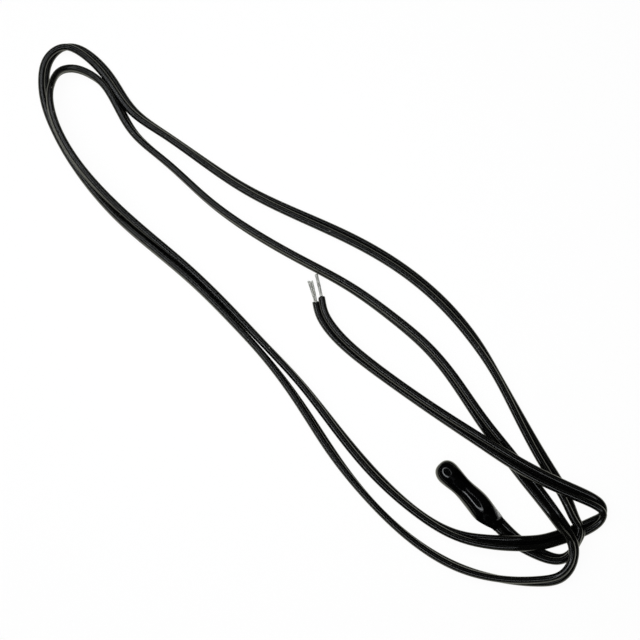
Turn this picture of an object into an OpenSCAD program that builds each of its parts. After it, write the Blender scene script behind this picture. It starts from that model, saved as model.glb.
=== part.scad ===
// Thermistor probe: a sensing head dipped in black resin, on a thin twin-core flat cable.
// The cable lies in two loose turns on the table and ends in two stripped, tinned wires.
// Millimetres, +Z up. The origin is on the table under the middle of the head, and +X runs
// along the head towards the cable.

/* [Resin coating] */
// Length of the head, from its round nose to the edge of the resin on the cable
head_l = 16.5; // [15:0.5:20]
// Diameter of the round nose over the sensing chip
nose_d = 4.4; // [4:0.1:5.2]
// Diameter of the neck between the nose and the bulge
neck_d = 3.65; // [3.2:0.05:3.8]
// Diameter of the bulge over the solder joints
bulge_d = 4.4; // [4.1:0.1:5.2]
// Distance from the fattest place of the bulge to the edge of the resin
bulge_to_edge = 5.45; // [4.6:0.05:6.5]
// Radius of the long curve of the bulge, seen from the side
bulge_curve_r = 14.7; // [10:0.1:18]
// Thickness of the resin film that ends on the cable
film_t = 0.15; // [0.12:0.01:0.3]

/* [Sensing chip] */
// Side of the square ceramic chip
chip_w = 1.6; // [1:0.1:2]
// Thickness of the chip between its two electrodes
chip_t = 0.9; // [0.7:0.05:1.1]
// Thickness of each silver electrode
electrode_t = 0.1; // [0.06:0.02:0.2]
// Diameter of the solder bead that holds a lead on its electrode
chip_solder_d = 1; // [0.8:0.1:1.4]
// Length of that bead along the lead
chip_solder_l = 1; // [0.8:0.1:1.4]
// Thickness of the solder between a lead and its electrode
solder_film = 0.1; // [0.06:0.02:0.14]

/* [Leads and solder joints] */
// Diameter of the leads from the chip
lead_d = 0.35; // [0.25:0.05:0.45]
// Length of a lead along the face of its electrode
lead_on_chip = 1.2; // [0.6:0.1:1.5]
// Diameter of the solder around a lead's end and a wire's end
joint_d = 1.1; // [0.8:0.05:1.3]
// Length of that solder
joint_l = 2.4; // [1.6:0.1:3]
// Length of the cone at each end of that solder
joint_taper = 0.5; // [0.2:0.1:0.7]

/* [Cable] */
// Diameter of one insulated core
core_d = 1.25; // [1.1:0.05:1.3]
// Distance between the two cores
core_pitch = 1.65; // [1.5:0.05:1.7]
// Thickness of the web that joins the cores
web_t = 0.5; // [0.3:0.05:0.8]
// Diameter of the tinned copper in each core
wire_d = 0.6; // [0.4:0.05:0.7]
// Length of cable held inside the resin
cable_hold = 2.25; // [1.5:0.05:2.75]
// Turn of the flat cable about the axis of the head, degrees
exit_roll = -12; // [-30:1:0]

/* [Stripped end] */
// Length of each bare wire at the far end
strip_l = 4.4; // [3:0.1:8]

/* [Clearances] */
// Gap between the resin and the pieces cast in it
cast_gap = 0.02; // [0.01:0.01:0.04]
// Gap between the resin and the cable's skin
cable_gap = 0.05; // [0.03:0.01:0.08]

/* [Hidden] */
$fn = 48;

nose_r = nose_d / 2;
neck_r = neck_d / 2;
bulge_r = bulge_d / 2;
head_z = max(nose_r, bulge_r);
edge_x = head_l / 2;
nose_x = nose_r - head_l / 2;
bulge_x = edge_x - bulge_to_edge;
cable_x = edge_x - cable_hold;
joint_x = bulge_x;
wire_y = core_pitch / 2;
solder_y = chip_t / 2 + electrode_t;
lead_y = solder_y + solder_film + lead_d / 2;
lead_x = nose_x + chip_w / 2 - lead_on_chip;

// The hollow curve of the neck touches the nose's circle and the bulge's circle, and comes
// down to the neck's radius. nose_to_neck is its distance from the nose along the head, the
// root of the quadratic equation that these three conditions give.
nose_drop = nose_r - neck_r;
bulge_drop = bulge_r - neck_r;
drop_ratio = nose_drop / bulge_drop;
nose_to_bulge = bulge_x - nose_x;
nose_term = nose_r * nose_r - neck_r * neck_r;
bulge_term = 2 * bulge_curve_r * bulge_drop - bulge_drop * bulge_drop;
root_b = 2 * drop_ratio * nose_to_bulge;
root_c = drop_ratio * bulge_term - nose_term - drop_ratio * nose_to_bulge * nose_to_bulge;
nose_to_neck = -2 * root_c / (root_b + sqrt(root_b * root_b - 4 * (1 - drop_ratio) * root_c));
neck_curve_r = (nose_to_neck * nose_to_neck - nose_term) / (2 * nose_drop);

// Centres of the three circles, as distance from the axis and place along it
nose_centre = [0, nose_x];
bulge_centre = [bulge_r - bulge_curve_r, bulge_x];
neck_centre = [neck_r + neck_curve_r, nose_x + nose_to_neck];
function on_circle(centre, r, towards) = centre + r * (towards - centre) / norm(towards - centre);
nose_touch = on_circle(nose_centre, nose_r, neck_centre);
bulge_touch = on_circle(bulge_centre, bulge_curve_r, neck_centre);

// Outline of the head, from the tip of the nose to the edge of the resin: three arcs that
// run on from each other, in steps fine enough to look round
arc_steps = 10;
function arc(centre, r, a0, a1, first) = [for (i = [first : arc_steps])
    let (a = a0 + (a1 - a0) * i / arc_steps) centre + r * [cos(a), sin(a)]];
function angle_of(centre, p) = atan2(p[1] - centre[1], p[0] - centre[0]);
outline = concat(
    arc(nose_centre, nose_r, -90, angle_of(nose_centre, nose_touch), 0),
    arc(neck_centre, -neck_curve_r, angle_of(nose_touch, neck_centre),
        angle_of(bulge_touch, neck_centre), 1),
    arc(bulge_centre, bulge_curve_r, angle_of(bulge_centre, bulge_touch),
        asin(bulge_to_edge / bulge_curve_r), 1),
    [[0, edge_x]]);

// Route of the cable, from inside the head to the stripped end. Each row holds how far the
// point is along +X from the edge of the resin, its Y, how far the cable is lifted above
// where it would rest on the table, and the turn of its flat section in degrees.
exit_lift = head_z - core_d / 2 - wire_y * abs(sin(exit_roll));
route = [
    [-2.25, 0, exit_lift, exit_roll], [0.25, 0, exit_lift, exit_roll], [2.75, 0, 1, -13],
    [5.25, 0.5, 0.3, -20], [8.25, 1.5, 0, -32], [10.75, 2.5, 0, -42], [12.75, 4, 0, -58],
    // Small curl beside the head, standing on edge
    [13, 6.5, 0, -85], [12, 9, 1.7, -103], [11.25, 10.5, 1.75, -115], [8.75, 11, 0.9, -122],
    // First run, out to the left end
    [4.25, 13.5, 0, -142], [-3.25, 15, 0, -145], [-11.75, 17.5, 0, -129],
    [-21.25, 20.5, 0, -105], [-29.25, 22.5, 0, -134], [-39.25, 23.5, 0, -139],
    [-50.25, 22.5, 0, -141], [-61.25, 19.5, 0, -147], [-72.25, 15, 0, -141],
    [-82.75, 11, 0, -128], [-93.75, 9, 0, -118], [-102.75, 7.5, 0, -112],
    [-110.75, 5.5, 0, -125],
    // Left end, outer turn
    [-118.25, 7.5, 0, -136], [-123.25, 8, 0, -139], [-128.25, 7.5, 0, -136],
    [-131.25, 5.5, 0, -108], [-131.25, 1, 0, -68], [-128.25, -2.5, 0, -62],
    [-124.25, -5.5, 0, -68], [-118.75, -8, 0, -80],
    // Long run back past the head
    [-109.75, -10.5, 0, -85], [-97.25, -11.5, 0, -85], [-87.25, -10.5, 0, -85],
    [-76.25, -9.25, 0, -85], [-65.25, -9.25, 0, -82], [-54.25, -9.5, 0, -82],
    [-43.25, -11, 0, -70], [-32.25, -13.5, 0, -63], [-20.75, -14.75, 0, -86],
    [-9.25, -14.25, 0, -75], [0.75, -11.5, 0, -61], [8.25, -6.5, 0, -83],
    // Over the curl and back along the head
    [12.75, -2, 0.3, -106], [15.25, 1, 1.6, -116], [14.75, 4.5, 3.5, -112],
    [12.25, 7, 4.8, -122], [9.25, 8, 2.7, -148], [5.75, 9, 1, -158], [0.25, 10, 0.2, -170],
    // Second run, out to the left end
    [-8.25, 11, 0, -205], [-17.25, 12, 0, -240], [-26.25, 14, 0, -246],
    [-34.75, 15, 0, -254], [-44.25, 14, 0, -261], [-54.25, 12.5, 0, -265],
    [-64.75, 9, 0, -271], [-75.25, 6, 0, -271], [-86.25, 4, 0, -278], [-97.25, 4, 0, -279],
    [-106.25, 2.5, 0, -288], [-112.75, 4.5, 0, -297], [-118.25, 6, 0, -286],
    // Left end, inner turn, which comes down on the first one
    [-122.25, 5.5, 0, -278], [-125.75, 4, 0.3, -281], [-127.25, 1, 1.3, -289],
    [-125.75, -2, 2.5, -282], [-123.25, -5, 3.2, -278], [-117.75, -8, 3.2, -275],
    [-109.75, -10, 3.2, -272], [-100.25, -10.5, 3.1, -268], [-90.25, -9.5, 1, -264],
    // Second run back, beside the first
    [-79.25, -8, 0, -264], [-68.25, -7.75, 0, -264], [-57.25, -8, 0, -261],
    [-46.25, -8, 0, -256], [-35.25, -9.5, 0, -246], [-24.25, -10.5, 0, -235],
    [-13.75, -10, 0, -252], [-5.25, -8, 0, -239],
    // Over the cable at the head, under the curl, and folded back on itself
    [0.25, -4.5, 2.1, -205], [4.75, -0.5, 3.3, -176], [7.75, 3.5, 1, -178],
    [9.25, 7, 0, -182], [10.75, 10, 0, -185], [11.75, 13, 0, -200], [12.25, 15.25, 0, -240],
    [11.75, 16.25, 0.8, -290], [10, 16.5, 2, -335], [6.25, 15, 2.6, -355],
    [0.25, 12.5, 2.5, -370], [-6.25, 10.5, 2, -386], [-14.25, 9, 0.7, -413],
    // Last run, to the stripped end
    [-23.75, 7, 0, -424], [-34.25, 5, 0, -429], [-44.25, 3.5, 0, -421],
    [-49.75, 3.5, 0, -411], [-53.75, 4.25, 0, -404], [-56, 5.75, 0, -400]];
last = len(route) - 1;

// Points of the route where a ring would only crowd its neighbours
crowded = [2, 4, 24, 48, 51, 62, 86, 90, 97];
rings = [for (i = [0 : last]) if (len(search(i, crowded)) == 0) i];

// Smooth curve near the route's points, at point i: the cubic B-spline's value there
function smooth(i) = i == 0 || i == last ? route[i] : (route[i - 1] + 4 * route[i] + route[i + 1]) / 6;
function centre_at(s) = [edge_x + s[0], s[1], core_d / 2 + wire_y * abs(sin(s[3])) + s[2]];
centres = [for (i = rings) centre_at(smooth(i))];
rolls = [for (i = rings) smooth(i)[3]];
ring_count = len(rings);

// Directions along the cable: level and straight at both ends
start_dir = [1, 0, 0];
end_step = route[last] - route[last - 1];
end_dir = [end_step[0], end_step[1], 0] / norm([end_step[0], end_step[1]]);
function unit(v) = v / norm(v);
function along(k) = k == 0 ? start_dir
                  : k == ring_count - 1 ? end_dir
                  : unit(centres[k + 1] - centres[k - 1]);

// The flat section's own axes: across runs from core B to core A, and up stands on the web
function level_left(u) = unit(cross([0, 0, 1], u));
function across(u, roll) = cos(roll) * level_left(u) + sin(roll) * cross(u, level_left(u));
function up(u, roll) = cross(u, across(u, roll));

// Share of a flank of the waist, from the web, that the resin's hollow follows
flank_share = 0.85;

// Section of the cable: two cores, each with three points, and a waist over the web
core_r = core_d / 2;
section = [[0, web_t / 2], [wire_y, core_r], [wire_y + core_r, 0], [wire_y, -core_r],
           [0, -web_t / 2], [-wire_y, -core_r], [-wire_y - core_r, 0], [-wire_y, core_r]];
sides = len(section);
function ring(k) = [for (p = section) centres[k] + p[0] * across(along(k), rolls[k])
                                    + p[1] * up(along(k), rolls[k])];

end_centre = centres[ring_count - 1];
end_across = across(end_dir, rolls[ring_count - 1]);
end_turn = atan2(end_dir[1], end_dir[0]);

// A and B are the two cores: core A lies on the +Y side of the head
side_a = 1;
side_b = -1;

// Place inside the head: its own axis is X, and it is turned with the cable
module in_head() {
    translate([0, 0, head_z]) rotate([exit_roll, 0, 0]) children();
}

// Round bar along X from one place to another
module bar(x0, x1, d) {
    translate([x0, 0, 0]) rotate([0, 90, 0]) cylinder(d = d, h = x1 - x0);
}

// Section of the cable swollen by a thickness, as the resin meets it: its two cores, and the
// four flanks of its waist moved outwards, each of which ends inside a core's circle
module cable_outline(grow) {
    rise = grow * norm([wire_y, core_r - web_t / 2]) / wire_y;
    waist = web_t / 2 + rise;
    flank_end = [waist + flank_share * (core_r - web_t / 2), flank_share * wire_y];
    for (s = [side_a, side_b]) translate([0, s * wire_y]) circle(d = core_d + 2 * grow);
    polygon([[waist, 0], flank_end, [-flank_end[0], flank_end[1]],
             [-waist, 0], -flank_end, [flank_end[0], -flank_end[1]]]);
}

// Section of the resin film, which fills the groove between the cores
module film_outline() {
    for (s = [side_a, side_b]) translate([0, s * wire_y]) circle(d = core_d + 2 * film_t);
    square([core_d + 2 * film_t, core_pitch], center = true);
}

// Stack of the chip and both electrodes
module chip_stack(grow) {
    cube([chip_w + 2 * grow, chip_t + 2 * electrode_t + 2 * grow, chip_w + 2 * grow], center = true);
}

// Bead of solder on one electrode, around the end of its lead
module chip_bead(grow) {
    half = chip_solder_l / 2 + grow;
    intersection() {
        translate([0, lead_y, 0]) bar(-half, half, chip_solder_d + 2 * grow);
        translate([0, solder_y - grow + chip_solder_d, 0]) cube(2 * chip_solder_d, center = true);
    }
}

// One lead, straight from its electrode into the solder joint
module lead_bar(grow) {
    translate([0, lead_y, 0]) bar(lead_x - grow, joint_x - grow, lead_d + 2 * grow);
}

// Barrel of solder with a cone at each end
module joint_barrel(grow) {
    r = joint_d / 2 + grow;
    tip_r = wire_d / 2 + (joint_d - wire_d) / 8 + grow;
    half = joint_l / 2 + grow;
    translate([joint_x, wire_y, 0]) rotate([0, 90, 0]) rotate_extrude()
        polygon([[0, -half], [tip_r, -half], [r, joint_taper - half],
                 [r, half - joint_taper], [tip_r, half], [0, half]]);
}

module wire_bar(grow) {
    translate([0, wire_y, 0]) bar(joint_x + grow, cable_x, wire_d + 2 * grow);
}

// Everything on core A's side, mirrored for core B
module on_side(side) {
    in_head() scale_side(side) children();
}

module scale_side(side) {
    if (side > 0) children();
    else mirror([0, 1, 0]) children();
}

// Black resin over the chip, the leads, the solder joints and the cable's first millimetres
module coating() {
    color("#18181b") difference() {
        union() {
            translate([0, 0, head_z]) rotate([0, 90, 0]) rotate_extrude() polygon(outline);
            in_head() translate([cable_x, 0, 0]) rotate([0, 90, 0])
                linear_extrude(cable_hold) film_outline();
        }
        in_head() translate([cable_x - cable_gap, 0, 0]) rotate([0, 90, 0])
            linear_extrude(cable_hold + 2 * cable_gap) cable_outline(cable_gap);
        in_head() translate([nose_x, 0, 0]) chip_stack(cast_gap);
        for (side = [side_a, side_b]) on_side(side) {
            translate([nose_x, 0, 0]) chip_bead(cast_gap);
            lead_bar(cast_gap);
            joint_barrel(cast_gap);
            wire_bar(cast_gap);
        }
    }
}

// Ceramic of the sensing chip
module ntc_chip() {
    color("#3b3a38") in_head() translate([nose_x, 0, 0]) cube([chip_w, chip_t, chip_w], center = true);
}

// Silver film on one face of the chip
module electrode(side) {
    color("#c9c9c4") on_side(side) translate([nose_x, (chip_t + electrode_t) / 2, 0])
        cube([chip_w, electrode_t, chip_w], center = true);
}

module chip_solder(side) {
    color("#b4b6b8") on_side(side) difference() {
        translate([nose_x, 0, 0]) chip_bead(0);
        lead_bar(0);
    }
}

module lead(side) {
    color("#b9bbbd") on_side(side) lead_bar(0);
}

module joint(side) {
    color("#a9abad") on_side(side) difference() {
        joint_barrel(0);
        lead_bar(0);
        wire_bar(0);
    }
}

module root_wire(side) {
    color("#c4c5c6") on_side(side) wire_bar(0);
}

// Twin-core cable, from inside the resin to the stripped end
module cable() {
    skin = [for (k = [0 : ring_count - 2], j = [0 : sides - 1], half = [0, 1])
        let (a = k * sides + j, b = k * sides + (j + 1) % sides)
        half == 0 ? [a, b, a + sides] : [b, b + sides, a + sides]];
    tail = (ring_count - 1) * sides;
    caps = [[4, 3, 2, 1, 0], [0, 7, 6, 5, 4],
            [tail, tail + 1, tail + 2, tail + 3, tail + 4],
            [tail + 4, tail + 5, tail + 6, tail + 7, tail]];
    color("#26282b") polyhedron(points = [for (k = [0 : ring_count - 1]) each ring(k)],
                                faces = concat(skin, caps));
}

// Tinned wire bared at the cable's far end, with a rounded tip
module end_wire(side) {
    color("#bfc1c3") translate(end_centre + side * wire_y * end_across) rotate([0, 0, end_turn]) {
        bar(0, strip_l - wire_d / 2, wire_d);
        translate([strip_l - wire_d / 2, 0, 0]) sphere(d = wire_d);
    }
}

coating();
ntc_chip();
electrode(side_a);  // electrode_a
electrode(side_b);  // electrode_b
chip_solder(side_a);  // chip_solder_a
chip_solder(side_b);  // chip_solder_b
lead(side_a);  // lead_a
lead(side_b);  // lead_b
joint(side_a);  // joint_a
joint(side_b);  // joint_b
root_wire(side_a);  // root_wire_a
root_wire(side_b);  // root_wire_b
cable();
end_wire(side_a);  // end_wire_a
end_wire(side_b);  // end_wire_b
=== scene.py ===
# %% [markdown]
# A thermistor probe: a sensing head dipped in glossy black resin, on a long flat cable with
# two cores, which lies in loose turns and ends in two stripped, tinned wires.
#
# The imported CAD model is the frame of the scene. It gives every piece its place and size,
# and the small pieces inside the head are used as they are. The pieces that are seen from
# outside are soft or dipped, so each gets a finer shape here that stands for its CAD node.
# Named lengths are in metres and named angles in degrees, unless a name or comment says
# otherwise.

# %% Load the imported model
import math

import bmesh
import bpy
import numpy as np
from mathutils import Matrix, Vector


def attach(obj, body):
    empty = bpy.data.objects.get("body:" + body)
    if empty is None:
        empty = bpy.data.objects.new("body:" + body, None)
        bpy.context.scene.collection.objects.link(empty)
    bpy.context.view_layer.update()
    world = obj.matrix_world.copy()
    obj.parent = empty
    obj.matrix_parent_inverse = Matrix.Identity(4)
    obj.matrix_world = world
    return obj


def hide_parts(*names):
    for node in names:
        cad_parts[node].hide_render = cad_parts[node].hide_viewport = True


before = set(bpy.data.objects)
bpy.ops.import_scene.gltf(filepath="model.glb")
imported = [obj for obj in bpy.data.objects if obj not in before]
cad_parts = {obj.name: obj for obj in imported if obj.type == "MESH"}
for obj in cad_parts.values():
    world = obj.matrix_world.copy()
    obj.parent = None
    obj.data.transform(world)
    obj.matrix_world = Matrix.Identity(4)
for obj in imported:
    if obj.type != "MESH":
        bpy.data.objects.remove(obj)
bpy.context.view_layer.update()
scene = bpy.context.scene

# %% [markdown]
# The camera comes first. The picture looks down on the probe from 74 degrees above the
# horizon, from far away through a long lens, so the lines of the cable hardly converge. A
# camera can be aimed by angles, but three directions at right angles to each other say more
# plainly how it is held: where the picture's right is, where its top is, and what is behind.

# %% Camera
EYE = Vector((0.03897, -0.07644, 0.40524))
LOOKED_AT = Vector((-0.04525, 0.00362, 0))
PICTURE_RIGHT = Vector((0.6889, 0.7248, 0)).normalized()
LENS_MM = 120.94
SENSOR_MM = 36


def placement(spot, right, top, back):
    """Where a camera or a lamp is, and where its right, its top and its back are."""
    return Matrix.Translation(spot) @ Matrix((right, top, back)).transposed().to_4x4()


behind = (EYE - LOOKED_AT).normalized()
picture_top = behind.cross(PICTURE_RIGHT).normalized()
camera = bpy.data.objects.new("camera", bpy.data.cameras.new("camera"))
camera.data.lens = LENS_MM
camera.data.sensor_width = SENSOR_MM
camera.data.clip_start = 0.01
camera.data.clip_end = 20
camera.matrix_world = placement(EYE, picture_top.cross(behind), picture_top, behind)
scene.collection.objects.link(camera)
scene.camera = camera
scene.view_settings.view_transform = "Standard"
print(f"camera {EYE.length:.3f} m away, {math.degrees(math.asin(behind.z)):.1f} degrees up")

# %% [markdown]
# Nodes make both the shapes and the finishes below. Wiring them line by line hides the
# formula that they stand for. So one small class wraps an output socket and lets ordinary
# Python arithmetic add the Math nodes. Every other node comes from one method, which takes
# the node's type, then its settings, and then the values or links of its inputs.

# %% Arithmetic on sockets
class Socket:
    """An output of a node, on which arithmetic adds Math nodes."""

    def __init__(self, tree, socket):
        self.tree, self.socket = tree, socket

    def other(self, name):
        """Another output of the same node."""
        return Socket(self.tree, self.socket.node.outputs[name])

    def maths(self, operation, *values):
        """A Math node on sockets and numbers."""
        return self.tree.node("ShaderNodeMath", {"operation": operation}, dict(enumerate(values)))

    def __add__(self, value):
        return self.maths("ADD", self, value)

    def __sub__(self, value):
        return self.maths("SUBTRACT", self, value)

    def __rsub__(self, value):
        return self.maths("SUBTRACT", value, self)

    def __mul__(self, value):
        return self.maths("MULTIPLY", self, value)

    def __truediv__(self, value):
        return self.maths("DIVIDE", self, value)

    def __pow__(self, value):
        return self.maths("POWER", self, value)

    def __abs__(self):
        return self.maths("ABSOLUTE", self)

    def sine(self):
        return self.maths("SINE", self)

    def clipped(self):
        """The value, held between 0 and 1."""
        return self.tree.node("ShaderNodeClamp", {}, {"Value": self})

    __radd__ = __add__
    __rmul__ = __mul__


class Tree:
    """A node tree. node() is the one way in which a node is added to it."""

    def __init__(self, node_tree):
        self.tree = node_tree
        self.tree.nodes.clear()

    def node(self, kind, settings=None, inputs=None, output=0):
        """Adds a node, and gives back one of its outputs."""
        made = self.tree.nodes.new(kind)
        for name, value in (settings or {}).items():
            setattr(made, name, value)
        for name, value in (inputs or {}).items():
            if isinstance(value, Socket):
                self.tree.links.new(value.socket, made.inputs[name])
            else:
                made.inputs[name].default_value = value
        return Socket(self, made.outputs[output]) if made.outputs else None


def grey(level):
    """A colour with the same red, green and blue, for a shader's socket."""
    return (level, level, level, 1)


print("sockets take +, -, *, / and **, and abs()")

# %% [markdown]
# The cable is one smooth line in space, and its flat section turns about that line as it
# goes. The photograph gives the line from end to end, and the route's points are listed here
# in metres: the place along X from the edge of the resin, the place along Y, the lift above
# where the cable would rest on the table, and the turn of its section in degrees.

# %% The cable's sizes and its route
RESIN_EDGE = 0.00825
HEAD_HEIGHT = 0.0022
CORE_DIAMETER = 0.0014
CORE_PITCH = 0.00161
WEB = 0.00022
EXIT_ROLL = -12
EXIT_LIFT = HEAD_HEIGHT - CORE_DIAMETER / 2 - CORE_PITCH / 2 * math.sin(math.radians(-EXIT_ROLL))
ROUTE = [
    (-0.00225, 0, EXIT_LIFT, EXIT_ROLL), (0.00025, 0, EXIT_LIFT, EXIT_ROLL),
    (0.00275, 0, 0.001, -13), (0.00525, 0.0005, 0.0003, -20), (0.00825, 0.0015, 0, -32),
    (0.01075, 0.0025, 0, -42), (0.01275, 0.004, 0, -58),
    # Small curl beside the head, standing on edge
    (0.013, 0.0065, 0, -85), (0.012, 0.009, 0.0017, -103), (0.01125, 0.0105, 0.00175, -115),
    (0.00875, 0.011, 0.0009, -122),
    # First run, out to the left end
    (0.00425, 0.0135, 0, -142), (-0.00325, 0.015, 0, -145), (-0.01175, 0.0175, 0, -129),
    (-0.02125, 0.0205, 0, -105), (-0.02925, 0.0225, 0, -134), (-0.03925, 0.0235, 0, -139),
    (-0.05025, 0.0225, 0, -141), (-0.06125, 0.0195, 0, -147), (-0.07225, 0.015, 0, -141),
    (-0.08275, 0.011, 0, -128), (-0.09375, 0.009, 0, -118), (-0.10275, 0.0075, 0, -112),
    (-0.11075, 0.0055, 0, -125),
    # Left end, outer turn
    (-0.11825, 0.0075, 0, -136), (-0.12325, 0.008, 0, -139), (-0.12825, 0.0075, 0, -136),
    (-0.13125, 0.0055, 0, -108), (-0.13125, 0.001, 0, -68), (-0.12825, -0.0025, 0, -62),
    (-0.12425, -0.0055, 0, -68), (-0.11875, -0.008, 0, -80),
    # Long run back past the head
    (-0.10975, -0.0105, 0, -85), (-0.09725, -0.0115, 0, -85), (-0.08725, -0.0105, 0, -85),
    (-0.07625, -0.00925, 0, -85), (-0.06525, -0.00925, 0, -82), (-0.05425, -0.0095, 0, -82),
    (-0.04325, -0.011, 0, -70), (-0.03225, -0.0135, 0, -63), (-0.02075, -0.01475, 0, -86),
    (-0.00925, -0.01425, 0, -75), (0.00075, -0.0115, 0, -61), (0.00825, -0.0065, 0, -83),
    # Over the curl and back along the head
    (0.01275, -0.002, 0.0003, -106), (0.01525, 0.001, 0.0016, -116),
    (0.01475, 0.0045, 0.0035, -112), (0.01225, 0.007, 0.0048, -122),
    (0.00925, 0.008, 0.0027, -148), (0.00575, 0.009, 0.001, -158), (0.00025, 0.01, 0.0002, -170),
    # Second run, out to the left end
    (-0.00825, 0.011, 0, -205), (-0.01725, 0.012, 0, -240), (-0.02625, 0.014, 0, -246),
    (-0.03475, 0.015, 0, -254), (-0.04425, 0.014, 0, -261), (-0.05425, 0.0125, 0, -265),
    (-0.06475, 0.009, 0, -271), (-0.07525, 0.006, 0, -271), (-0.08625, 0.004, 0, -278),
    (-0.09725, 0.004, 0, -279), (-0.10625, 0.0025, 0, -288), (-0.11275, 0.0045, 0, -297),
    (-0.11825, 0.006, 0, -286),
    # Left end, inner turn, which comes down on the first one
    (-0.12225, 0.0055, 0, -278), (-0.12575, 0.004, 0.0003, -281), (-0.12725, 0.001, 0.0013, -289),
    (-0.12575, -0.002, 0.0025, -282), (-0.12325, -0.005, 0.0032, -278),
    (-0.11775, -0.008, 0.0032, -275), (-0.10975, -0.01, 0.0032, -272),
    (-0.10025, -0.0105, 0.0031, -268), (-0.09025, -0.0095, 0.001, -264),
    # Second run back, beside the first
    (-0.07925, -0.008, 0, -264), (-0.06825, -0.00775, 0, -264), (-0.05725, -0.008, 0, -261),
    (-0.04625, -0.008, 0, -256), (-0.03525, -0.0095, 0, -246), (-0.02425, -0.0105, 0, -235),
    (-0.01375, -0.01, 0, -252), (-0.00525, -0.008, 0, -239),
    # Over the cable at the head, under the curl, and folded back on itself
    (0.00025, -0.0045, 0.0021, -205), (0.00475, -0.0005, 0.0033, -176),
    (0.00775, 0.0035, 0.001, -178), (0.00925, 0.007, 0, -182), (0.01075, 0.01, 0, -185),
    (0.01175, 0.013, 0, -200), (0.01225, 0.01525, 0, -240), (0.01175, 0.01625, 0.0008, -290),
    (0.01, 0.0165, 0.002, -335), (0.00625, 0.015, 0.0026, -355), (0.00025, 0.0125, 0.0025, -370),
    (-0.00625, 0.0105, 0.002, -386), (-0.01425, 0.009, 0.0007, -413),
    # Last run, to the stripped end
    (-0.02375, 0.007, 0, -424), (-0.03425, 0.005, 0, -429), (-0.04425, 0.0035, 0, -421),
    (-0.04975, 0.0035, 0, -411), (-0.05375, 0.00425, 0, -404), (-0.056, 0.00575, 0, -400),
]

route = np.array(ROUTE)
route[:, 0] += RESIN_EDGE
route[:, 3] = np.radians(route[:, 3])
route = np.vstack([2 * route[0] - route[1], route, 2 * route[-1] - route[-2]])
print(f"{len(ROUTE)} points, and one more beyond each end, which keeps the ends straight")

# %% [markdown]
# Across, the cable is two round cores with a thin web between them. The black skin runs from
# core to core in one hollow curve. A circle above the web that touches both cores, and that
# leaves the web's thickness under it, gives that curve. Its radius comes from the
# right-angled triangle between its centre, a core's centre and the middle of the web. One
# quarter of the section is worked out, and the other three are its mirror images.

# %% The section of the cable
CORE_STEPS = 7
HOLLOW_STEPS = 4


def cable_section():
    """Points round the section, as x across and y up, from the tip of the right-hand core."""
    core_r, reach, half_web = CORE_DIAMETER / 2, CORE_PITCH / 2, WEB / 2
    hollow_r = (reach ** 2 + half_web ** 2 - core_r ** 2) / (2 * (core_r - half_web))
    touch = math.atan2(hollow_r + half_web, reach)
    quarter = []
    for angle in np.linspace(0, math.pi - touch, CORE_STEPS + 1):
        quarter.append((reach + core_r * math.cos(angle), core_r * math.sin(angle)))
    for angle in np.linspace(touch, math.pi / 2, HOLLOW_STEPS + 1)[1:]:
        quarter.append((hollow_r * math.cos(angle),
                        hollow_r + half_web - hollow_r * math.sin(angle)))
    quarter = np.array(quarter)
    upper = np.vstack([quarter, quarter[-2::-1] * (-1, 1)])
    return np.vstack([upper, upper[-2:0:-1] * (1, -1)])


section = cable_section()
across_mm, high_mm = np.ptp(section, axis=0) * 1000
print(f"{len(section)} points round a section of {across_mm:.2f} by {high_mm:.2f} mm")

# %% [markdown]
# A Geometry Nodes tree sweeps the section along the route, as an extruder would. The guide
# is a mesh of points in a row. It becomes a curve of third degree with evenly spaced knots,
# and each point carries its turn, so that the turn is smoothed along with the place. Where
# the section is turned, one core rides higher, and the tree lifts the centre line by as much
# as keeps the lower core on the table. The curve's normal starts out level and is tilted by
# the turn. The tree also keeps two attributes, the place on the section and the distance
# along the cable, because the pattern of the skin follows the cable through every bend.

# %% Helpers for Geometry Nodes
def shape_tree(name, inputs):
    """A new Geometry Nodes tree with a geometry input, the named inputs and an output."""
    group = bpy.data.node_groups.new(name, "GeometryNodeTree")
    group.interface.new_socket("Guide", in_out="INPUT", socket_type="NodeSocketGeometry")
    for label, kind in inputs.items():
        group.interface.new_socket(label, in_out="INPUT", socket_type="NodeSocket" + kind)
    group.interface.new_socket("Shape", in_out="OUTPUT", socket_type="NodeSocketGeometry")
    tree = Tree(group)
    return group, tree, tree.node("NodeGroupInput", output="Guide")


def guide_mesh(name, lines, attributes=None, closed=False):
    """A mesh of lines of points, with a value of each named attribute at each point."""
    points = [tuple(point) for line in lines for point in line]
    edges, first = [], 0
    for line in lines:
        edges += [(first + i, first + i + 1) for i in range(len(line) - 1)]
        if closed:
            edges.append((first + len(line) - 1, first))
        first += len(line)
    mesh = bpy.data.meshes.new(name)
    mesh.from_pydata(points, edges, [])
    for label, values in (attributes or {}).items():
        mesh.attributes.new(label, "FLOAT", "POINT").data.foreach_set("value", values)
    return mesh


def run_tree(name, guide, group, values):
    """The tree's result on a guide mesh, as a plain object with no modifier."""
    holder = bpy.data.objects.new(name + "_guide", guide)
    scene.collection.objects.link(holder)
    modifier = holder.modifiers.new(group.name, "NODES")
    modifier.node_group = group
    for item in group.interface.items_tree:
        if item.in_out == "INPUT" and item.name in values:
            modifier[item.identifier] = values[item.name]
    depsgraph = bpy.context.evaluated_depsgraph_get()
    mesh = bpy.data.meshes.new_from_object(holder.evaluated_get(depsgraph), depsgraph=depsgraph,
                                           preserve_all_data_layers=True)
    bpy.data.objects.remove(holder)
    piece = bpy.data.objects.new(name, mesh)
    mesh.name = name
    scene.collection.objects.link(piece)
    return piece


print("a guide mesh goes in, and a plain mesh comes out")

# %% The tree that sweeps the cable
RINGS_PER_POINT = 12

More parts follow.
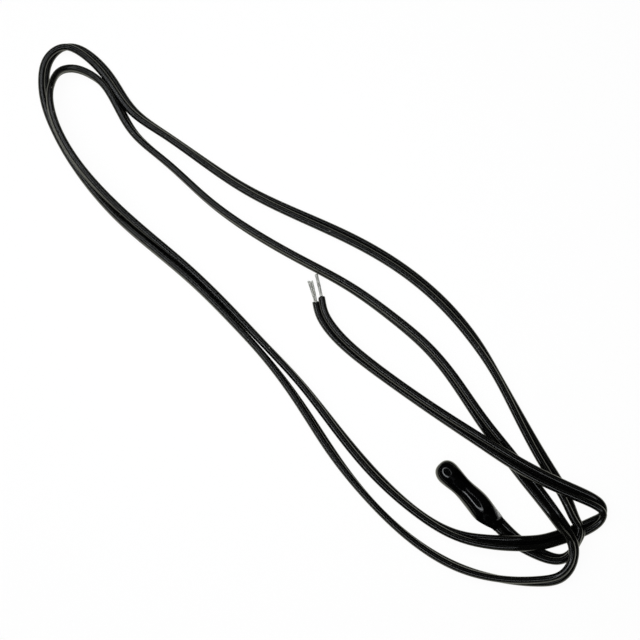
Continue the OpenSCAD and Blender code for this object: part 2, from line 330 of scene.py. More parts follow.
cable_group, tree, guide = shape_tree("flat_cable", {
    "Section": "Object", "Core diameter": "Float", "Core pitch": "Float",
    "Rings per point": "Int", "Skin": "Material"})
line = tree.node("GeometryNodeMeshToCurve", {}, {"Mesh": guide})
line = tree.node("GeometryNodeCurveSplineType", {"spline_type": "NURBS"}, {"Curve": line})
line = tree.node("GeometryNodeStoreNamedAttribute", {"data_type": "INT8", "domain": "CURVE"},
                 {"Geometry": line, "Name": "knots_mode", "Value": 0})
line = tree.node("GeometryNodeSetSplineResolution", {},
                 {"Geometry": line, "Resolution": guide.other("Rings per point")})
line = tree.node("GeometryNodeResampleCurve", {"mode": "EVALUATED"}, {"Curve": line})
turn = tree.node("GeometryNodeInputNamedAttribute", {"data_type": "FLOAT"}, {"Name": "turn"})
core_lift = abs(turn.sine()) * guide.other("Core pitch") / 2 + guide.other("Core diameter") / 2
offset = tree.node("ShaderNodeCombineXYZ", {}, {"Z": core_lift})
line = tree.node("GeometryNodeSetPosition", {}, {"Geometry": line, "Offset": offset})
line = tree.node("GeometryNodeSetCurveNormal", {"mode": "Z_UP"}, {"Curve": line})
line = tree.node("GeometryNodeSetCurveTilt", {}, {"Curve": line, "Tilt": turn})
along = tree.node("GeometryNodeSplineParameter", output="Length")
line = tree.node("GeometryNodeStoreNamedAttribute", {"data_type": "FLOAT", "domain": "POINT"},
                 {"Geometry": line, "Name": "along", "Value": along})
outline = tree.node("GeometryNodeObjectInfo", {}, {"Object": guide.other("Section")},
                    output="Geometry")
outline = tree.node("GeometryNodeMeshToCurve", {}, {"Mesh": outline})
place = tree.node("GeometryNodeInputPosition")
outline = tree.node("GeometryNodeStoreNamedAttribute",
                    {"data_type": "FLOAT_VECTOR", "domain": "POINT"},
                    {"Geometry": outline, "Name": "on_section", "Value": place})
tube = tree.node("GeometryNodeCurveToMesh", {}, {"Curve": line, "Profile Curve": outline})
tube = tree.node("GeometryNodeSetShadeSmooth", {}, {"Geometry": tube})
tube = tree.node("GeometryNodeRealizeInstances", {}, {"Geometry": tube})
tube = tree.node("GeometryNodeSetMaterial", {}, {"Geometry": tube,
                                                 "Material": guide.other("Skin")})
tree.node("NodeGroupOutput", {}, {"Shape": tube})
print(f"the tree of the cable has {len(cable_group.nodes)} nodes")

# %% Sweep the cable
section_holder = bpy.data.objects.new("section", guide_mesh(
    "section", [[(x, y, 0) for x, y in section]], closed=True))
scene.collection.objects.link(section_holder)
skin = bpy.data.materials.new("black_cable_skin")
cable = run_tree(
    "cable_skin", guide_mesh("route", [route[:, :3]], {"turn": route[:, 3]}), cable_group,
    {"Section": section_holder, "Core diameter": CORE_DIAMETER, "Core pitch": CORE_PITCH,
     "Rings per point": RINGS_PER_POINT, "Skin": skin})
bpy.data.objects.remove(section_holder)


def points_of(mesh):
    """The places of a mesh's vertices, as rows of three numbers."""
    flat = np.empty(len(mesh.vertices) * 3)
    mesh.vertices.foreach_get("co", flat)
    return flat.reshape(-1, 3)


rings = points_of(cable.data).reshape(-1, len(section), 3)
centres = rings.mean(axis=1)
ring_steps = np.linalg.norm(np.diff(centres, axis=0), axis=1)
cable_length = ring_steps.sum()
print(f"{len(rings)} rings, {cable_length:.4f} m of cable, lowest {rings[..., 2].min():.6f} m")

# %% [markdown]
# The far end was cut and stripped by hand. One core is cut on a slant, so that its cut face
# looks up, and the other one runs a little further. Both are made from the last rings of the
# sweep: the points of core B slide on along the cable, and the points of core A slide back
# in proportion to their height. Points near the web slide less, so that the skin between the
# cores stays whole.

# %% One core longer, the other on a slant
FURTHER = 0.0007
STRETCH_LENGTH = 0.0025
SLANT = 0.55
SLANT_LENGTH = 0.0009
CORE_SHARE = 1.4

half = len(section) // 2
ahead = centres[-1] - centres[-2]
ahead /= np.linalg.norm(ahead)
to_core_a = rings[-1, half] - rings[-1, 0]
to_core_a /= np.linalg.norm(to_core_a)
from_end = cable_length - np.append(0, np.cumsum(ring_steps))
for k in np.flatnonzero(from_end < STRETCH_LENGTH):
    off_centre = rings[k] - centres[k]
    side = CORE_SHARE * np.clip(off_centre @ to_core_a / (CORE_PITCH / 2), -1, 1)
    onward = FURTHER * (1 - from_end[k] / STRETCH_LENGTH) ** 2 * np.clip(-side, 0, 1)
    fade = max(0, 1 - from_end[k] / SLANT_LENGTH)
    back = SLANT * off_centre[:, 2] * fade * np.clip(side, 0, 1)
    rings[k] += (onward - back)[:, None] * ahead
core_a_end = centres[-1] + to_core_a * CORE_PITCH / 2
core_b_end = centres[-1] - to_core_a * CORE_PITCH / 2 + ahead * FURTHER
cable.data.vertices.foreach_set("co", rings.ravel())
print(f"core B ends {FURTHER * 1000:.1f} mm after core A")

# %% [markdown]
# The swept tube is still open at both ends. At the head, where the resin hides it, one flat
# face closes it. At the far end each core gets rings of its own, which roll over the edge of
# the skin and go down into the bore round the wire. The two loops of points share one edge,
# across the web, so nothing stays open between them.

# %% Close the ends of the cable
BORE_R = 0.00031
ROLLED_EDGE = (
    # Size of the ring beside the one before, or None for the bore, and millimetres onwards
    (0.95, 0.04), (0.84, 0.07), (0.7, 0.07), (None, 0.02), (None, -0.9),
)


def close_core(bm, loop, centre):
    """Rolls the skin over from the loop of a core's last points and down into its bore."""
    for shrink, push_mm in ROLLED_EDGE:
        push = ahead * push_mm / 1000
        made = []
        for point in loop:
            arm = np.array(point.co) - centre
            outwards = arm - (arm @ ahead) * ahead
            scale = shrink or BORE_R / np.linalg.norm(outwards)
            made.append(bm.verts.new(centre + arm * scale + push))
        for i in range(len(loop)):
            j = (i + 1) % len(loop)
            bm.faces.new((loop[i], loop[j], made[j], made[i])).smooth = True
        loop = made
        if shrink:
            centre = centre + push
    bm.faces.new(loop)


bm = bmesh.new()
bm.from_mesh(cable.data)
bm.verts.ensure_lookup_table()
first, last = bm.verts[:len(section)], bm.verts[-len(section):]
bm.faces.new(first)
quarter_turn = half // 2
core_b_loop = last[half + quarter_turn:] + last[:quarter_turn + 1]
core_a_loop = last[quarter_turn:half + quarter_turn + 1]
close_core(bm, core_b_loop, core_b_end)
close_core(bm, core_a_loop, core_a_end)
bmesh.ops.recalc_face_normals(bm, faces=bm.faces)
print("open edges of the cable:", sum(not edge.is_manifold for edge in bm.edges))
bm.to_mesh(cable.data)
bm.free()
cable.data.materials.clear()
cable.data.materials.append(skin)

# %% [markdown]
# Each bare wire is a bundle of fine copper strands that were twisted and dipped in tin. A
# bent cylinder would look like solid wire. Here a tree sweeps a small circle along every
# strand at once, because all the strands of both wires are alike but for their paths.

# %% The tree that sweeps the strands
strand_group, tree, guide = shape_tree("strands", {
    "Strand radius": "Float", "Sides": "Int", "Metal": "Material"})
line = tree.node("GeometryNodeMeshToCurve", {}, {"Mesh": guide})
outline = tree.node("GeometryNodeCurvePrimitiveCircle", {"mode": "RADIUS"},
                    {"Resolution": guide.other("Sides"), "Radius": guide.other("Strand radius")})
tube = tree.node("GeometryNodeCurveToMesh", {},
                 {"Curve": line, "Profile Curve": outline, "Fill Caps": True})
tube = tree.node("GeometryNodeRealizeInstances", {}, {"Geometry": tube})
tube = tree.node("GeometryNodeSetMaterial", {}, {"Geometry": tube,
                                                 "Material": guide.other("Metal")})
tree.node("NodeGroupOutput", {}, {"Shape": tube})
print(f"the tree of the strands has {len(strand_group.nodes)} nodes")

# %% [markdown]
# Six strands lie round each bundle and two fill its middle. A bundle starts round, hidden
# inside its core. Wire A was pressed flat and spreads towards its tip, wire B keeps its
# twist, and both lean a little to one side. A voxel remesh then fuses the strands, as the tin
# does, so that only their ridges are left. In metres its voxels would be smaller than the
# modifier's slider goes, so the bundles are made in millimetres and scaled down at the end.

# %% Paths of the strands
BUNDLE_R_MM = 0.19
HIDDEN_MM = 0.8
OUTER_STRANDS = 6
INNER_REACH = 0.45
STRAND_POINTS = 40


def bundle_lines(base, length, spread, thinned, twist, ragged, lean):
    """Paths of the strands in millimetres.

    Towards the tip the half width goes to spread and the half height to thinned. Twist is
    in radians for each millimetre, ragged is how much the tips differ in length, and lean
    is how far the tip stands to one side.
    """
    side = np.cross((0, 0, 1), ahead)
    above = np.cross(ahead, side)
    starts = [(2 * math.pi * i / OUTER_STRANDS, 1) for i in range(OUTER_STRANDS)]
    starts += [(0, INNER_REACH), (math.pi, INNER_REACH)]
    lines = []
    for strand, (start, reach) in enumerate(starts):
        # A sine of the strand's number is uneven enough, and the same on every run
        tip = length + ragged * math.sin(2.3 * strand + 1)
        line = []
        for s in np.linspace(-HIDDEN_MM, tip, STRAND_POINTS):
            bare = max(s / length, 0)
            width = BUNDLE_R_MM + (spread - BUNDLE_R_MM) * min(bare, 1)
            height = BUNDLE_R_MM + (thinned - BUNDLE_R_MM) * min(bare, 1)
            angle = start + twist * max(s, 0)
            sideways = lean * bare ** 1.5 + width * reach * math.cos(angle)
            upwards = height * reach * math.sin(angle)
            line.append(base * 1000 + ahead * s + side * sideways + above * upwards)
        lines.append(line)
    return lines


lines_a = bundle_lines(core_a_end, length=4.75, spread=0.47, thinned=0.13, twist=0.08,
                       ragged=0.07, lean=0.35)
lines_b = bundle_lines(core_b_end, length=4.9, spread=0.22, thinned=0.19, twist=0.4,
                       ragged=0.06, lean=0.2)
print(f"{len(lines_a)} strands in each wire, {HIDDEN_MM} mm of them inside the core")

# %% The two tinned wires
STRAND_R_MM = 0.115
STRAND_SIDES = 10
VOXEL_MM = 0.032
tinned_strands = bpy.data.materials.new("tinned_strands")


def tinned_wire(name, lines):
    """The strands, swept, fused with tin and brought to metres."""
    wire = run_tree(name, guide_mesh(name, lines), strand_group,
                    {"Strand radius": STRAND_R_MM, "Sides": STRAND_SIDES,
                     "Metal": tinned_strands})
    fuse = wire.modifiers.new("tin", "REMESH")
    fuse.mode = "VOXEL"
    fuse.voxel_size = VOXEL_MM
    fuse.use_smooth_shade = True
    soften = wire.modifiers.new("flow", "SMOOTH")
    soften.factor = 0.5
    soften.iterations = 3
    depsgraph = bpy.context.evaluated_depsgraph_get()
    fused = bpy.data.meshes.new_from_object(wire.evaluated_get(depsgraph), depsgraph=depsgraph)
    wire.modifiers.clear()
    wire.data = fused
    fused.transform(Matrix.Scale(0.001, 4))
    fused.materials.clear()
    fused.materials.append(tinned_strands)
    print(f"{name}: {len(fused.polygons)} faces")
    return wire


wire_a = tinned_wire("wire_a_strands", lines_a)
wire_b = tinned_wire("wire_b_strands", lines_b)

# %% [markdown]
# The head was dipped in liquid resin and hung up to set, so it is a drop: a round nose over
# the chip, a hollow neck, a long bulge over the solder joints, and a taper that ends in a
# thin film on the cable. No two sections are alike: the taper is lower than it is wide, and
# the film follows the flat cable, which leaves the head turned by 12 degrees. So the head is
# lofted from rings. A few listed places along the head give the half width, the half
# height, the squareness and the turn of the section there, and the same kind of smooth curve
# as the cable's runs near them. A squareness of 2 is an ellipse, a larger one is boxier, and
# a smaller one is flatter at the shoulders.

# %% The head's outline
HEAD_OUTLINE = [
    # X, half width and half height in millimetres, squareness, and turn in degrees
    (-8.25, 0, 0, 2, 0), (-8.25, 0.75, 0.75, 2, 0), (-8.0, 1.4, 1.4, 2, 0),
    (-7.3, 2.02, 2.0, 2, 0), (-6.2, 2.33, 2.28, 2, 0), (-5.1, 2.25, 2.18, 2, 0),
    (-4.1, 2.14, 1.8, 2, 3), (-3.0, 1.97, 1.58, 2, 6), (-2.0, 1.92, 1.62, 1.9, 8),
    (-0.9, 1.98, 1.84, 1.8, 8), (0.3, 2.13, 2.1, 1.8, 8), (1.4, 2.23, 2.24, 1.8, 8),
    (2.5, 2.3, 2.23, 1.8, 8), (3.5, 2.3, 2.02, 1.75, 6), (4.5, 2.24, 1.68, 1.7, -2),
    (5.4, 2.13, 1.36, 1.65, -10), (6.3, 2.0, 1.12, 1.8, -14), (7.1, 1.69, 0.9, 2.4, -12),
    (7.55, 1.51, 0.75, 3, -12), (8.1, 1.5, 0.73, 3.2, -12), (8.25, 1.49, 0.72, 3.2, -12),
    (8.29, 1.42, 0.62, 3, -12),
]


def smooth_rows(rows, steps):
    """Points of the even cubic spline near some rows of numbers."""
    rows = np.array(rows, float)
    rows = np.vstack([2 * rows[0] - rows[1], rows, 2 * rows[-1] - rows[-2]])
    found = []
    for k in range(len(rows) - 3):
        for t in np.linspace(0, 1, steps, endpoint=False):
            weights = np.array([(1 - t) ** 3, 3 * t ** 3 - 6 * t ** 2 + 4,
                                1 + 3 * t + 3 * t ** 2 - 3 * t ** 3, t ** 3]) / 6
            found.append(weights @ rows[k:k + 4])
    return np.array(found)


STEPS_PER_ROW = 7

outline_rows = smooth_rows(HEAD_OUTLINE, STEPS_PER_ROW)[1:]
print(f"{len(outline_rows)} rings, widest {2 * outline_rows[:, 1].max():.2f} mm")

# %% [markdown]
# The points of a ring lie round its middle at equal angles, and the half width, the half
# height and the squareness say how far out each one is. The drop isn't quite straight, so a
# ring's middle may lie a little to one side. Faces join the rings, the nose closes in one
# point, and one flat face, which the cable goes through, closes the other end.

# %% Loft the head
AROUND = 72
BENDS = (
    # Most that the middle lies to one side, its place along X and its reach, in millimetres
    (-0.27, 4.6, 2.2), (-0.06, -5.5, 1.8),
)


def head_ring(bm, x, width, height, power, degrees):
    """A loop of vertices round the head at x, for one row of the outline."""
    roll = math.radians(degrees)
    across = np.array((0, math.cos(roll), math.sin(roll)))
    above = np.array((0, -math.sin(roll), math.cos(roll)))
    aside = sum(most * math.exp(-((x - place) / reach) ** 2) for most, place, reach in BENDS)
    middle = np.array((x, aside, HEAD_HEIGHT * 1000))
    loop = []
    for angle in np.linspace(0, 2 * math.pi, AROUND, endpoint=False):
        out = (abs(math.cos(angle) / width) ** power
               + abs(math.sin(angle) / height) ** power) ** (-1 / power)
        spot = middle + out * (math.cos(angle) * across + math.sin(angle) * above)
        loop.append(bm.verts.new(spot / 1000))
    return loop


def loft_head():
    """The head as one closed mesh, from the tip of the nose to its end on the cable."""
    bm = bmesh.new()
    loops = [head_ring(bm, *row) for row in outline_rows]
    tip = bm.verts.new((HEAD_OUTLINE[0][0] / 1000, 0, HEAD_HEIGHT))
    for i in range(AROUND):
        j = (i + 1) % AROUND
        bm.faces.new((tip, loops[0][i], loops[0][j]))
        for near, far in zip(loops, loops[1:]):
            bm.faces.new((near[i], far[i], far[j], near[j]))
    bm.faces.new(loops[-1])
    bmesh.ops.recalc_face_normals(bm, faces=bm.faces)
    mesh = bpy.data.meshes.new("resin_head")
    bm.to_mesh(mesh)
    bm.free()
    mesh.shade_smooth()
    piece = bpy.data.objects.new("resin_head", mesh)
    scene.collection.objects.link(piece)
    return piece


head = loft_head()
print("head:", [round(v * 1000, 2) for v in head.dimensions], "mm")

# %% [markdown]
# Every finish starts from an empty tree and ends in one surface. Where a piece is dull only
# in places, a mask mixes in a second, duller shader. Four small patterns are used again in
# several finishes: a noise, a slope, a mix of two colours and a bump. The noise reads a place
# in metres, so its scale is one over the size of its grain. A slope turns a number that grows
# along a piece into a mask between 0 and 1, and a product of slopes is a window on the piece.

# %% Patterns
def finish(material):
    """An empty node tree for a material, and a function that ends it in a surface."""
    material.use_nodes = True
    tree = Tree(material.node_tree)

    def surface(inputs, dull=None, dull_inputs=None):
        """Ends the tree, with a second shader mixed in by the mask dull if there is one."""
        shader = tree.node("ShaderNodeBsdfPrincipled", {}, inputs, output="BSDF")
        if dull is not None:
            other = tree.node("ShaderNodeBsdfPrincipled", {}, dull_inputs, output="BSDF")
            shader = tree.node("ShaderNodeMixShader", {}, {0: dull, 1: shader, 2: other})
        tree.node("ShaderNodeOutputMaterial", {}, {"Surface": shader})

    return tree, surface


def noise(tree, place, grain, detail=3.0, roughness=0.5):
    """Soft random values round 0.5, with spots of about the grain's size in metres."""
    return tree.node("ShaderNodeTexNoise", {"noise_dimensions": "3D"},
                     {"Vector": place, "Scale": 1 / grain, "Detail": detail,
                      "Roughness": roughness}, output="Fac")


def slope(value, start, steepness):
    """Climbs from 0 to 1 beyond start. With a negative steepness it climbs the other way."""
    return ((value - start) * steepness).clipped()


def blend(tree, share, low, high):
    """The colour low where the share is 0, and high where it is 1. Low may be a socket."""
    low = low if isinstance(low, Socket) else (*low, 1)
    # A Mix node has sockets for each kind of data, so those for colours go by their number
    return tree.node("ShaderNodeMix", {"data_type": "RGBA"},
                     {0: share, 6: low, 7: (*high, 1)}, output=2)


def bump(tree, height, depth):
    """A bump whose height, from 0 to 1, stands for a depth in metres."""
    return tree.node("ShaderNodeBump", {}, {"Height": height, "Distance": depth,
                                            "Strength": 1.0}, output="Normal")


print("noise, slope, blend and bump are ready")

# %% [markdown]
# The skin of the cable is black, soft plastic with a low sheen. It was pulled through a die,
# so very faint lines run along it, and handling leaves it a little duller in places and
# dusted with pale specks. The groove between the cores lies in shade, and that shade is
# painted: a matt, nearly black shader that hardly mirrors anything is mixed in there, which
# parts the cores in the picture. The pattern is made in the cable's own space: across, up
# and along the section instead of X, Y and Z. So the lines follow every bend. Only one thing
# is read from where the cable lies: beside the head it is a little glossier than further
# out, as in the photograph.

# %% Patterns on the skin
PATCH = 0.006
DRAWN_LINE = 0.00018
PORE = 0.00012
SPECK_SPACING = 0.0011
SPECK_SIZE = 0.16
CLUMP = 0.0031
LINES_STRETCHED = 0.02

tree, surface = finish(skin)
on_section = tree.node("ShaderNodeAttribute", {"attribute_name": "on_section"}, output="Vector")
along = tree.node("ShaderNodeAttribute", {"attribute_name": "along"}, output="Fac")
parted = tree.node("ShaderNodeSeparateXYZ", {}, {0: on_section})
x, y = parted, parted.other("Y")
skin_place = tree.node("ShaderNodeCombineXYZ", {}, {"X": x, "Y": y, "Z": along})
drawn_place = tree.node("ShaderNodeCombineXYZ", {},
                        {"X": x, "Y": y, "Z": along * LINES_STRETCHED})
worn = noise(tree, skin_place, PATCH)
drawn = noise(tree, drawn_place, DRAWN_LINE, detail=2)
pores = noise(tree, skin_place, PORE, detail=2, roughness=0.6)
speck = tree.node("ShaderNodeTexVoronoi", {"feature": "F1"},
                  {"Vector": skin_place, "Scale": 1 / SPECK_SPACING}, output="Distance")
rare = noise(tree, skin_place, CLUMP, detail=0)
dust = slope(speck, SPECK_SIZE, -9) * slope(rare, 0.66, 14)
print(f"the skin's lines are about {DRAWN_LINE * 1000:.1f} mm apart")

# %% Black cable skin
SKIN_DARK = (0.001, 0.001, 0.0008)
SKIN_WORN = (0.003, 0.003, 0.0026)
DUST = (0.22, 0.21, 0.19)
GLOSSY_UP_TO = 0.0018
DULL_FROM = -0.0162
GROOVE_EDGE = 0.00042
GROOVE_FLOOR = 0.0002
LINE_DEPTH = 0.0000004

tone = ((worn - 0.35) * 2.2 + (pores - 0.5) * 0.6).clipped()
colour = blend(tree, tone, SKIN_DARK, SKIN_WORN)
colour = blend(tree, dust * 0.55, colour, DUST)
lying = tree.node("ShaderNodeTexCoord", output="Object")
lying_x = tree.node("ShaderNodeSeparateXYZ", {}, {0: lying})
far = slope(lying_x, GLOSSY_UP_TO, 1 / (DULL_FROM - GLOSSY_UP_TO))
roughness = 0.15 + far * 0.13 + (worn - 0.5) * 0.08 + (drawn - 0.5) * 0.04
relief = drawn * 0.8 + pores * 0.2
# Painted shade: near the middle of the groove a matt, nearly black shader is mixed in
groove = slope(abs(x), GROOVE_EDGE, 1 / (GROOVE_FLOOR - GROOVE_EDGE))
surface({"Base Color": colour, "Roughness": roughness, "IOR": 1.5, "Specular IOR Level": 0.5,
         "Normal": bump(tree, relief, LINE_DEPTH)},
        groove * (0.9 + (worn - 0.5) * 0.2),
        {"Base Color": grey(0.001), "Roughness": 0.6, "Specular IOR Level": 0.02})
print(f"matt within {GROOVE_FLOOR * 1000:.1f} mm of the middle of the groove")

# %% [markdown]
# The resin is black epoxy, so smooth that it mirrors the lamps. Real dipped resin is never
# quite even. It has set in slow waves, far below a tenth of a millimetre, so they are a bump
# and not shape. The photograph shows the hollow neck and much of the taper nearly black, so
# a duller finish is mixed in there. Along one flank of the taper the resin mirrors the bright
# floor, and the lip where the resin ends catches a light line. Both are painted into the
# resin's colour as a pale grey: a painted reflection and a painted highlight. Each of these
# four places is a window, whose slopes start at places on the head in millimetres.

# %% Windows on the resin
resin = bpy.data.materials.new("black_dipping_resin")
tree, surface = finish(resin)
place = tree.node("ShaderNodeTexCoord", output="Object")
split = tree.node("ShaderNodeSeparateXYZ", {}, {0: place})
x, y = split * 1000, split.other("Y") * 1000
neck = slope(x, -5.25, 3) * slope(x, -0.7, -1.2) * slope(abs(y), 1.7, -2)
taper = slope(x, 3.9, 2) * slope(y, 1.1, -2.5)
# Window of the painted reflection of the bright floor along one flank of the taper
flank_reflection = slope(y + x * 0.35, 2.8, 1) ** 2 * slope(x, 7.3, -2)
# Window of the painted highlight on the lip where the resin ends
lip_highlight = slope(x - y * 0.2, 6.8, 4) * slope(x - y * 0.1, 7.3, -4) * slope(y, 0, 3)
print("dull windows: neck and taper; hazy ones: flank and lip")

# %% Black dipping resin
RESIN_DARK = (0.0003, 0.0003, 0.0003)
RESIN_PALE = (0.001, 0.001, 0.0011)
# Pale grey of the painted reflection and the painted highlight on the resin
PAINTED_LIGHT_GREY = (0.5, 0.5, 0.49)
WAVE = 0.0035
WAVE_DEPTH = 0.00002
GRAIN = 0.00025

waves = noise(tree, place, WAVE, detail=1)
grain = noise(tree, place, GRAIN, detail=2)
colour = blend(tree, slope(waves, 0.4, 3), RESIN_DARK, RESIN_PALE)
# Painted reflection and painted highlight: a pale grey mixed into the resin's colour
colour = blend(tree, (flank_reflection * 1.3 + lip_highlight * 0.09).clipped(), colour, PAINTED_LIGHT_GREY)
polish = 0.1 + (grain - 0.5) * 0.05 + (waves - 0.5) * 0.05
surface({"Base Color": colour, "Roughness": polish, "IOR": 1.5, "Specular IOR Level": 0.5,
         "Normal": bump(tree, waves, WAVE_DEPTH)},
        (neck + taper).clipped() * (0.86 + grain * 0.25),
        {"Base Color": colour, "Roughness": 0.5 + (grain - 0.5) * 0.2,
         "Specular IOR Level": 0.008})
head.data.materials.append(resin)
print(f"the resin's waves are {WAVE_DEPTH * 1000:.2f} mm deep")

# %% [markdown]
# Metals next. The tin on the bare strands has gone grey and nearly matt, with darker places
# where it ran thin, so it is made only a little metallic. The pieces inside the head can't
# be seen, but whoever takes the probe apart will see them: a dull ceramic chip with silver
# film on two faces, satin solder, and tinned copper. One function makes all the metals,
# because each is patchy in the same way: where it is darker, it is also rougher.

# %% Metals
def metal(material, grain, dark, bright, rough, rough_change, depth, metallic=1.0):
    """A metal whose colour and roughness wander together between two states."""
    tree, surface = finish(material)
    place = tree.node("ShaderNodeTexCoord", output="Object")
    patches = noise(tree, place, grain, detail=4)
    fine = noise(tree, place, grain / 5, detail=2)
    share = ((patches - 0.36) * 2.6 + (fine - 0.5) * 0.7).clipped()
    surface({"Base Color": blend(tree, share, dark, bright), "Metallic": metallic,
             "Roughness": (rough + (0.5 - share) * rough_change).clipped(),
             "Normal": bump(tree, patches * 0.5 + fine * 0.5, depth)})
    return material


metal(tinned_strands, grain=0.0012, dark=(0.24, 0.24, 0.225), bright=(0.4, 0.405, 0.375),
      rough=0.5, rough_change=0.15, depth=0.000006, metallic=0.2)
solder = metal(bpy.data.materials.new("satin_solder"), grain=0.0008,
               dark=(0.45, 0.46, 0.47), bright=(0.66, 0.67, 0.68),
               rough=0.35, rough_change=0.2, depth=0.00002)
tinned_copper = metal(bpy.data.materials.new("tinned_copper"), grain=0.0006,
                      dark=(0.5, 0.48, 0.46), bright=(0.72, 0.72, 0.71),
                      rough=0.3, rough_change=0.15, depth=0.00001)
silver_film = metal(bpy.data.materials.new("fired_silver"), grain=0.0003,
                    dark=(0.6, 0.59, 0.56), bright=(0.8, 0.79, 0.76),
                    rough=0.5, rough_change=0.2, depth=0.000008)
print("metals: tinned strands, solder, tinned copper and silver film")

# %% Dark ceramic
CRYSTAL = 0.00012
CRYSTAL_DEPTH = 0.000015
CERAMIC_DARK = (0.03, 0.028, 0.026)
CERAMIC_PALE = (0.075, 0.07, 0.064)

ceramic = bpy.data.materials.new("dark_ceramic")
tree, surface = finish(ceramic)
place = tree.node("ShaderNodeTexCoord", output="Object")
crystals = noise(tree, place, CRYSTAL, detail=4, roughness=0.7)
colour = blend(tree, slope(crystals, 0.35, 3), CERAMIC_DARK, CERAMIC_PALE)
surface({"Base Color": colour, "Roughness": 0.75 + (crystals - 0.5) * 0.3,
         "Normal": bump(tree, crystals, CRYSTAL_DEPTH)})
print(f"the chip's grain is {CRYSTAL * 1000} mm")

# %% Finish the pieces inside the head
INNER_FINISH = {"ntc_chip": ceramic, "electrode": silver_film, "chip_solder": solder,
                "lead": tinned_copper, "joint": solder, "root_wire": tinned_copper}
for node_name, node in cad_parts.items():
    for start, material in INNER_FINISH.items():
        if node_name.startswith(start):
            node.data.materials.clear()
            node.data.materials.append(material)
            print(node_name, "in", material.name)

# %% [markdown]
# A glossy black thing is drawn by what it mirrors. The highlight on the nose in the
# photograph is a ring, so the light is a ring of lamps above the head. Many small area
# lamps, edge to edge, make such a ring, and tilting its axis moves the highlight on the
# nose. In the photograph the cable shines more the further it is from the head. So each lamp
# throws a narrow beam that is aimed out along the cable. The lamps at the picture's lower
# left are a little stronger, and aim nearer to the head than the others do.

# %% Ring of lamps
RING_CENTRE = Vector((0, 0, HEAD_HEIGHT))
RING_REACH = 0.6
RING_HALF_ANGLE = 34
RING_TILT_LEFT = 14
RING_TILT_UP = 14
LAMPS = 28
LAMP_WIDTH = 0.08
LAMP_POWER = 0.00155
LAMP_COLOUR = (0.93, 0.97, 1.0)
UNEVEN = 0.35
BEAM = 22
FAR_AIM = Vector((-0.105, 0.004, 0))
NEAR_AIM = Vector((-0.04, 0.002, 0))

axis = (behind + picture_top * math.tan(math.radians(RING_TILT_UP))
        - PICTURE_RIGHT * math.tan(math.radians(RING_TILT_LEFT))).normalized()
sideways = axis.orthogonal().normalized()
brightest = (-PICTURE_RIGHT * 0.8 - picture_top * 0.6).normalized()
spread = math.radians(RING_HALF_ANGLE)
lamp_length = 2 * math.pi * RING_REACH * math.sin(spread) / LAMPS
for i in range(LAMPS):
    outwards = Matrix.Rotation(2 * math.pi * i / LAMPS, 3, axis) @ sideways
    spot = RING_CENTRE + (axis * math.cos(spread) + outwards * math.sin(spread)) * RING_REACH
    strong = outwards.dot(brightest)
    aim = FAR_AIM.lerp(NEAR_AIM, 0.5 + 0.5 * strong)
    back = (spot - aim).normalized()
    tangent = back.cross(outwards).normalized()
    light = bpy.data.lights.new(f"ring_lamp_{i}", "AREA")
    light.shape = "RECTANGLE"
    light.size = lamp_length
    light.size_y = LAMP_WIDTH
    light.energy = LAMP_POWER * (1 + UNEVEN * strong)
    light.color = LAMP_COLOUR
    light.spread = math.radians(BEAM)
    lamp = bpy.data.objects.new(light.name, light)
    lamp.matrix_world = placement(spot, tangent, back.cross(tangent), back)
    lamp.visible_camera = False
    scene.collection.objects.link(lamp)
print(f"{LAMPS} lamps in a ring, each {lamp_length * 1000:.0f} mm long")

# %% [markdown]
# Matt things, such as the tin on the wires, need light at a plain level, at which a colour
# renders about as it is written. One large soft lamp on the ring's axis gives it. Rays that
# glossy things mirror don't meet this lamp, because its image would lay a grey sheen over
# the black skin. The world adds only a faint even light.

# %% Soft lamp and world
SOFT_POWER = 7.2
SOFT_WIDTH = 0.7
SOFT_REACH = 0.9
WORLD_STRENGTH = 0.018

light = bpy.data.lights.new("soft_lamp", "AREA")
light.shape = "SQUARE"
light.size = SOFT_WIDTH
light.energy = SOFT_POWER
lamp = bpy.data.objects.new(light.name, light)
lamp.matrix_world = placement(RING_CENTRE + axis * SOFT_REACH, sideways,
                              axis.cross(sideways), axis)
lamp.visible_camera = False
lamp.visible_glossy = False
scene.collection.objects.link(lamp)

world = bpy.data.worlds.new("dim_room")
scene.world = world
world.use_nodes = True
tree = Tree(world.node_tree)
room = tree.node("ShaderNodeBackground", {}, {"Color": grey(1), "Strength": WORLD_STRENGTH})
tree.node("ShaderNodeOutputWorld", {}, {"Surface": room})
print(f"one soft lamp {SOFT_WIDTH} m wide, {SOFT_REACH} m away")

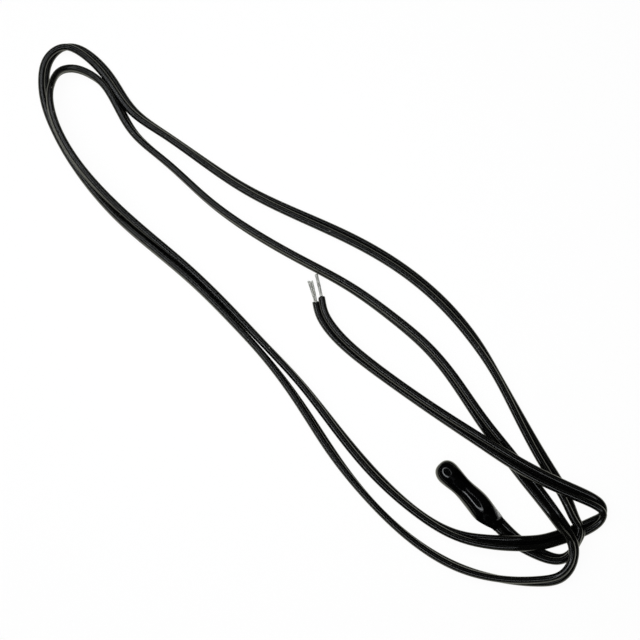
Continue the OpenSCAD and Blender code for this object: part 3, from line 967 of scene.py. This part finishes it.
# %% [markdown]
# The floor is a plain pale sheet. The picture's background is pure white, and that comes
# from the floor's own colour as the camera sees it, not from more light: rays from the
# camera, and those that glossy things mirror, find a floor that glows white and keeps a
# little of its own light and shadow. All other rays find plain pale grey paper. The edges of
# the black cable are a little warm in the photograph, so the glow that glossy things mirror
# is a warm white.

# %% Floor
FLOOR_SIZE = 8
GLOW = 0.945
PAPER = 0.85
WHITE = (1, 1, 1)
WARM_WHITE = (0.99, 1, 0.86)

floor_mesh = bpy.data.meshes.new("floor")
bm = bmesh.new()
bmesh.ops.create_grid(bm, x_segments=2, y_segments=2, size=FLOOR_SIZE / 2)
bm.to_mesh(floor_mesh)
bm.free()
floor = bpy.data.objects.new("floor", floor_mesh)
scene.collection.objects.link(floor)
paper = bpy.data.materials.new("white_paper")
paper.use_nodes = True
tree = Tree(paper.node_tree)
ray = tree.node("ShaderNodeLightPath", output="Is Camera Ray")
seen = (ray + ray.other("Is Glossy Ray") + ray.other("Is Transmission Ray")).clipped()
plain = tree.node("ShaderNodeBsdfDiffuse", {}, {"Color": grey(PAPER)})
tint = blend(tree, ray.other("Is Glossy Ray"), WHITE, WARM_WHITE)
glow = tree.node("ShaderNodeEmission", {}, {"Color": tint, "Strength": 1.0})
paper_look = tree.node("ShaderNodeMixShader", {}, {0: seen * GLOW, 1: plain, 2: glow})
tree.node("ShaderNodeOutputMaterial", {}, {"Surface": paper_look})
floor_mesh.materials.append(paper)
print(f"the camera sees {GLOW:.1%} glow and the rest paper, {FLOOR_SIZE} m wide")

# %% [markdown]
# Last, every piece is tied to the imported model: it hangs from the model's root body, and
# the CAD nodes that it stands for are hidden.

# %% Tie the pieces to the model
for piece, nodes, material_slot in ((cable, ["cable"], "cable_skin"),
                                    (head, ["coating"], "black_resin"),
                                    (wire_a, ["end_wire_a"], "tinned_copper"),
                                    (wire_b, ["end_wire_b"], "tinned_copper")):
    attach(piece, "root")
    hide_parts(*nodes)
